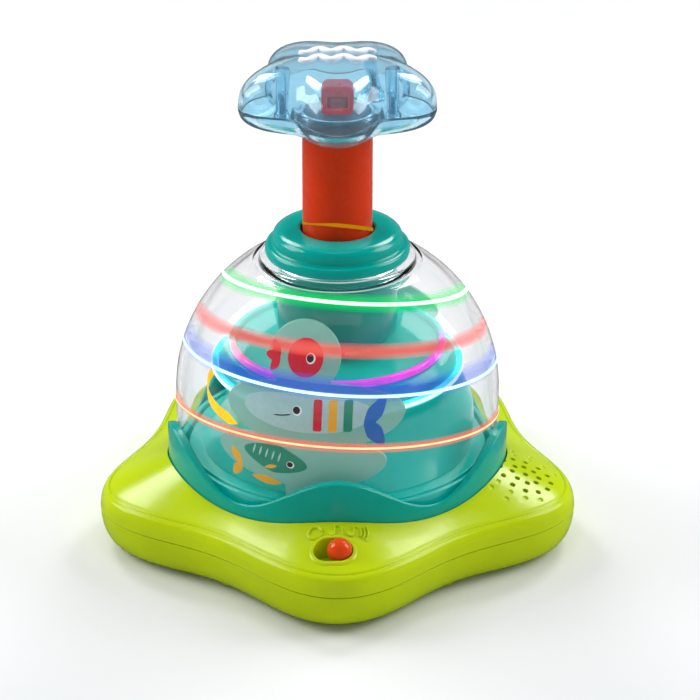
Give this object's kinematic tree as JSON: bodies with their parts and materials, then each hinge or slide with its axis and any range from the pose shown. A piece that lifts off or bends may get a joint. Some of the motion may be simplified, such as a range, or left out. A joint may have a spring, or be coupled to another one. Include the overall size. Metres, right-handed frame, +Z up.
{
  "type": "spinning top toy",
  "caption": "Press-and-spin dome toy: a sprung plunger with a star-shaped clear knob drives a lit carousel of sea-animal panels under a clear dome on a five-lobed base.",
  "frame": {"origin": "where the spin axis meets the surface the toy stands on, on the flat underside of the base", "axes": "+Z up along the spin axis, -Y towards the front lobe with the switch, +X to the right as seen from the front"},
  "size_m": [0.235, 0.2275, 0.2483],
  "materials": {
    "lime_plastic": "glossy moulded lime green",
    "teal_plastic": "glossy moulded teal",
    "orange_plastic": "glossy orange red",
    "clear_plastic": "clear, polished",
    "blue_clear_plastic": "clear blue, polished",
    "white_print": "white raised print",
    "picture_sheet": "frosted clear sheet with printed sea animals",
    "light_guide": "clear light guide, lit",
    "white_acetal": "satin white",
    "board": "green circuit board",
    "black_plastic": "matt black",
    "paper_cone": "dark paper cone",
    "battery_can": "plain sleeve, metal ends",
    "lamp_red": "red lamp lens",
    "lamp_green": "green lamp lens",
    "lamp_blue": "blue lamp lens",
    "steel": "bright steel"
  },
  "bodies": {
    "housing": {"base_top_shell": "lime_plastic", "base_bottom_shell": "lime_plastic", "wave_cup": "teal_plastic", "dome": "clear_plastic", "collar": "teal_plastic", "plunger_guide": "teal_plastic", "spindle_post": "white_acetal", "bearing_washer": "steel", "housing_screw_1": "steel", "housing_screw_2": "steel", "housing_screw_3": "steel", "housing_screw_4": "steel", "housing_screw_5": "steel", "battery_door": "lime_plastic", "battery_door_screw": "steel", "battery_1": "battery_can", "battery_2": "battery_can", "battery_3": "battery_can", "battery_contact_front": "steel", "battery_contact_rear": "steel", "circuit_board": "board", "speaker_frame": "black_plastic", "speaker_cone": "paper_cone", "speaker_magnet": "steel", "switch_body": "black_plastic", "lamp_board": "board", "lamp_1": "lamp_red", "lamp_2": "lamp_green", "lamp_3": "lamp_blue"},
    "plunger": {"plunger_tube": "orange_plastic", "stop_ring": "teal_plastic", "tube_head": "orange_plastic", "rod_pin": "steel", "drive_rod": "steel", "return_spring": "steel", "handle_lower_shell": "blue_clear_plastic", "handle_upper_shell": "blue_clear_plastic", "handle_screw_1": "steel", "handle_screw_2": "steel", "handle_screw_3": "steel", "crown_wave_1": "white_print", "crown_wave_2": "white_print"},
    "driver": {"drive_nut": "white_acetal", "thrust_washer": "steel"},
    "carousel": {"carousel_hill": "teal_plastic", "carousel_floor": "teal_plastic", "carousel_screw_1": "steel", "carousel_screw_2": "steel", "carousel_screw_3": "steel", "ratchet_ring": "white_acetal", "light_ring_lower": "light_guide", "light_ring_upper": "light_guide", "picture_panel_1": "picture_sheet", "picture_panel_2": "picture_sheet"},
    "switch": {"switch_knob": "orange_plastic", "switch_slider": "lime_plastic"}
  },
  "joints": [
    {"name": "plunger_slide", "type": "slide", "parent": "housing", "child": "plunger", "axis": [0, 0, 1], "range_m": [-0.042, 0], "stiffness_N_per_m": 140, "springref_m": 0.03, "deforming": ["return_spring"]},
    {"name": "driver_spin", "type": "hinge", "parent": "housing", "child": "driver", "pos_m": [0, 0, 0.055], "axis": [0, 0, 1], "range_deg": [-5, 545]},
    {"name": "carousel_spin", "type": "hinge", "parent": "driver", "child": "carousel", "pos_m": [0, 0, 0.041], "axis": [0, 0, 1], "continuous": true},
    {"name": "switch_slide", "type": "slide", "parent": "housing", "child": "switch", "axis": [1, 0, 0], "range_m": [-0.006, 0]}
  ],
  "couplings": [
    {"joint": "driver_spin", "follows": "plunger_slide", "rad_per_m": -224.4}
  ]
}
